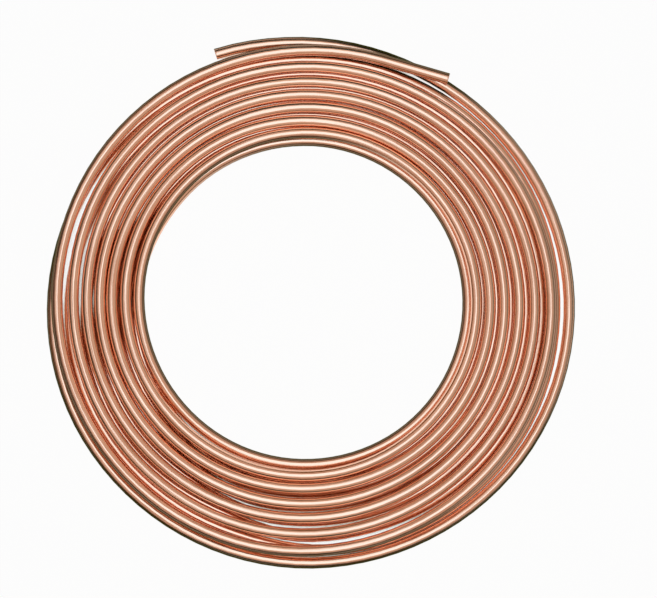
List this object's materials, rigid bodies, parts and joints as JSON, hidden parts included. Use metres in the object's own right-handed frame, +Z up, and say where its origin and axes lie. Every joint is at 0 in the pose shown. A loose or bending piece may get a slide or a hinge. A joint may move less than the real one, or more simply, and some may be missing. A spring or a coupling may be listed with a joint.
{
  "type": "coil of copper tube",
  "caption": "Flat coil of soft copper tube, wound in nested layers round an open eye, with its square-cut ends free at the edge.",
  "frame": {"origin": "middle of the coil's box, on the plane that it lies on", "axes": "+Z up, square to the coil's turns; +Y towards the coil's edge where the two cut ends lie; seen from above the tube runs clockwise from its start end"},
  "size_m": [0.4308, 0.438, 0.0193],
  "materials": {
    "copper": "bright annealed copper, drawn and satin"
  },
  "bodies": {
    "root": {"copper_tube": "copper"}
  },
  "joints": []
}
